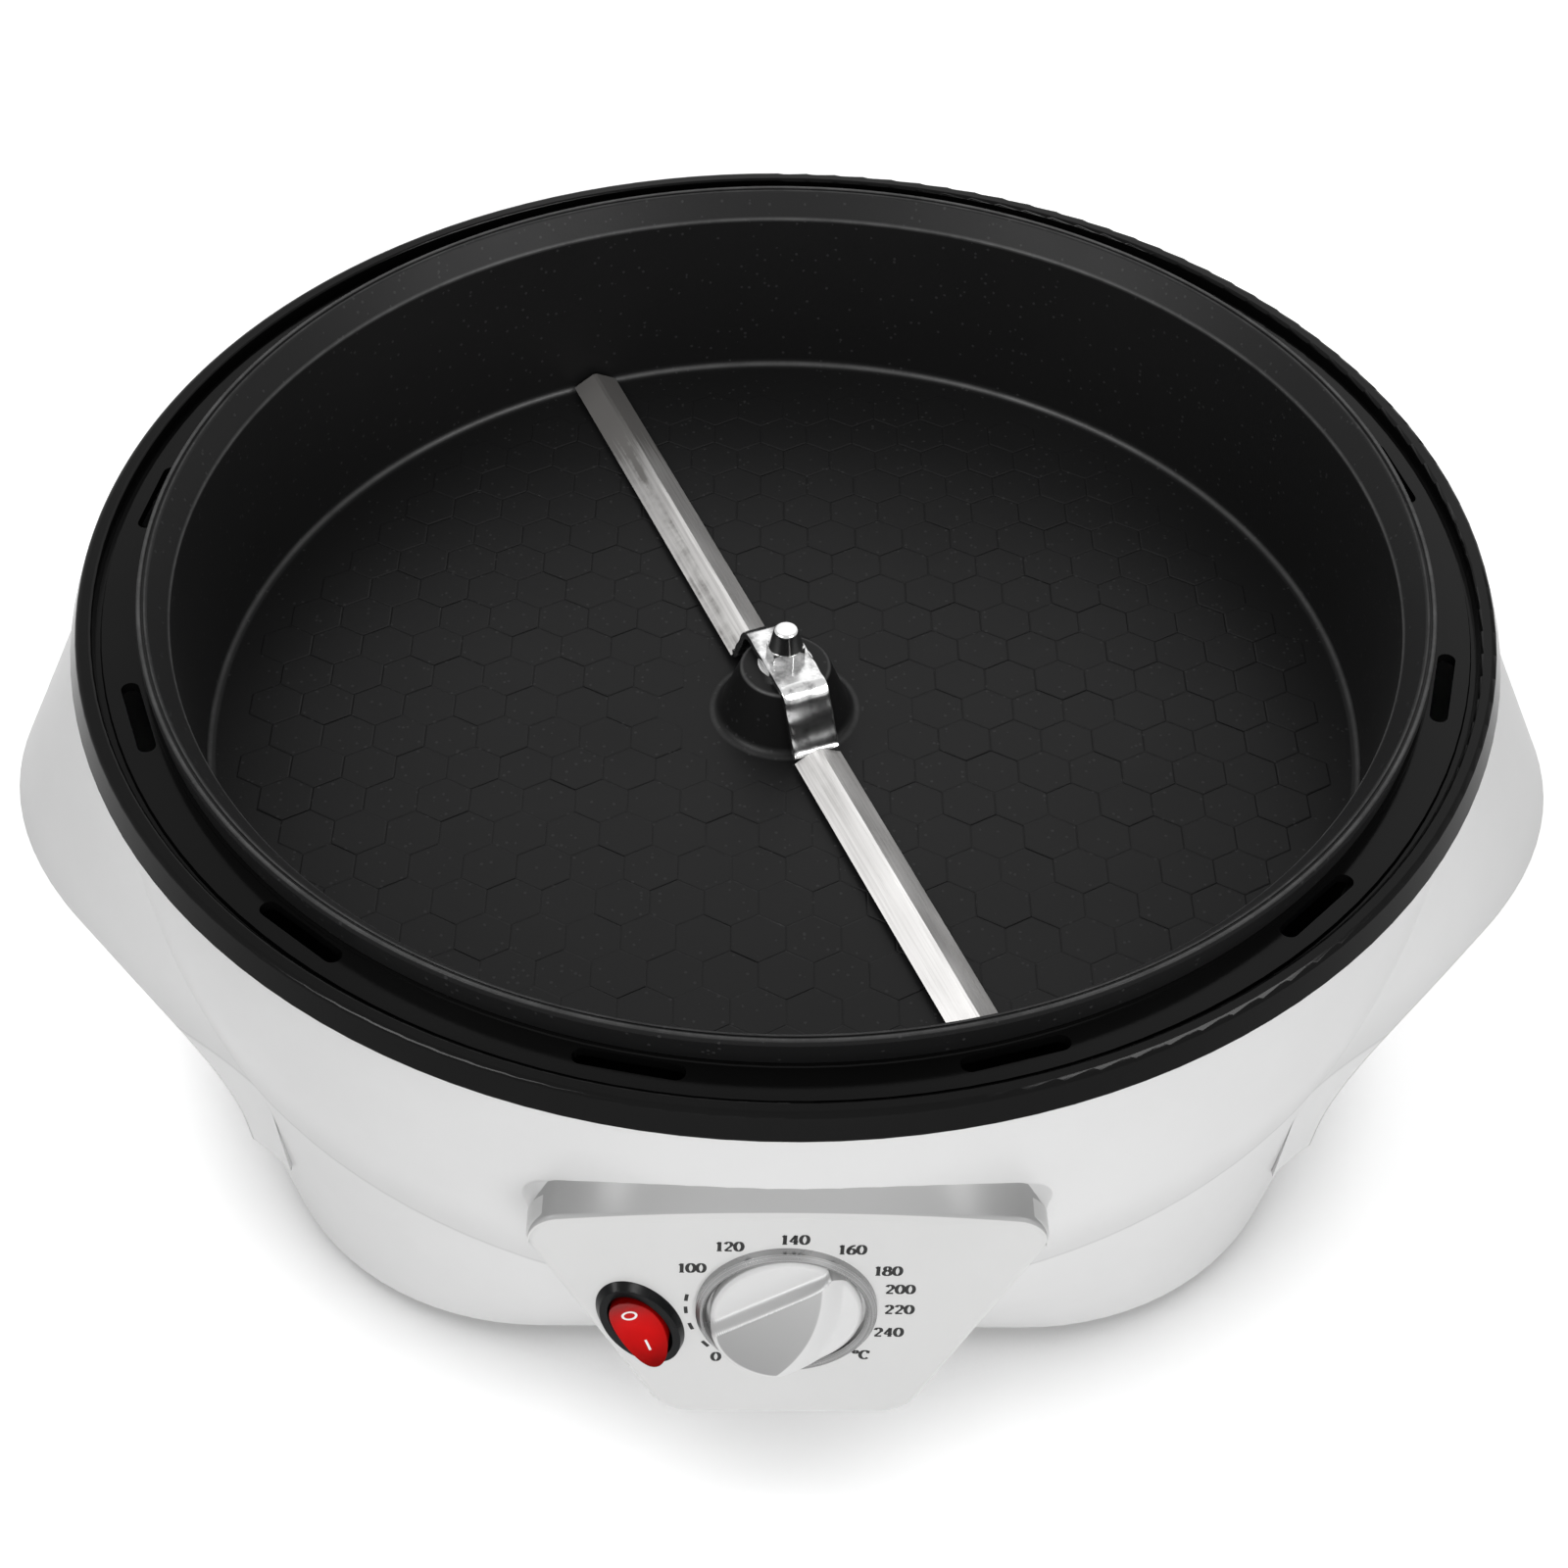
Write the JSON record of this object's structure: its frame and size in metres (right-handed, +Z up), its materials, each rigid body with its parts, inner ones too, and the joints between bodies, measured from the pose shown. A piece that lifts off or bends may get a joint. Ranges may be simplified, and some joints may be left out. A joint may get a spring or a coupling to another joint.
{
  "type": "home coffee bean roaster",
  "caption": "Round tabletop coffee bean roaster: open non-stick pan with motor-driven stirrer blade, black slotted rim, white housing with flared side handles, dial and rocker switch.",
  "frame": {"origin": "on the table under the stirrer's axis, which is also the pan's axis", "axes": "+Z up along the stirrer's shaft, -Y to the front where the control panel is, +X to the right-hand handle"},
  "size_m": [0.3936, 0.3538, 0.145],
  "materials": {
    "housing_white": "satin",
    "panel_white": "satin",
    "base_white": "matte",
    "rubber_black": "matte",
    "ring_black": "semi-gloss",
    "pan_black": "non-stick coated",
    "arm_steel": "brushed",
    "bright_chrome": "polished",
    "bezel_chrome": "satin",
    "knob_silver": "satin",
    "switch_black": "satin",
    "rocker_red": "glossy",
    "sheet_steel": "plain zinc plated",
    "zinc_screw": "zinc plated",
    "element_steel": "heat darkened",
    "shaft_steel": "turned",
    "bushing_brass": "plain",
    "motor_steel": "zinc plated",
    "thermostat_steel": "plain",
    "capillary_copper": "plain",
    "terminal_plastic": "matte",
    "gland_black": "matte"
  },
  "bodies": {
    "roaster": {"outer_housing": "housing_white", "base_plate": "base_white", "rubber_feet": "rubber_black", "base_screws": "zinc_screw", "trim_ring": "ring_black", "ring_screws": "zinc_screw", "roasting_pan": "pan_black", "shaft_bushing": "bushing_brass", "heating_element": "element_steel", "element_clips": "sheet_steel", "heat_shield": "sheet_steel", "shield_screws": "zinc_screw", "motor_bracket": "sheet_steel", "gear_motor": "motor_steel", "motor_screws": "zinc_screw", "control_panel": "panel_white", "knob_bezel": "bezel_chrome", "thermostat_body": "thermostat_steel", "thermostat_nut": "zinc_screw", "capillary_bulb": "capillary_copper", "bulb_clip": "sheet_steel", "thermal_fuse": "terminal_plastic", "switch_housing": "switch_black", "terminal_block": "terminal_plastic", "cord_gland": "gland_black"},
    "stirrer": {"drive_shaft": "shaft_steel", "drive_coupling": "shaft_steel", "thrust_washer": "shaft_steel", "stirrer_bridge": "bright_chrome", "stirrer_arm_front": "arm_steel", "stirrer_arm_rear": "arm_steel", "cap_nut": "bright_chrome"},
    "knob": {"control_knob": "knob_silver", "thermostat_spindle": "shaft_steel"},
    "rocker": {"switch_rocker": "rocker_red", "rocker_pin": "shaft_steel"}
  },
  "joints": [
    {"name": "stirrer_spin", "type": "hinge", "parent": "roaster", "child": "stirrer", "pos_m": [0, 0, 0.09], "axis": [0, 0, 1], "continuous": true},
    {"name": "knob_turn", "type": "hinge", "parent": "roaster", "child": "knob", "pos_m": [0, -0.1731, 0.0773], "axis": [0, 0.9969, -0.0785], "range_deg": [0, 250]},
    {"name": "switch_rock", "type": "hinge", "parent": "roaster", "child": "rocker", "pos_m": [-0.0315, -0.17286, 0.07267], "axis": [0.9063, 0.0332, 0.4213], "range_deg": [0, 16]}
  ]
}
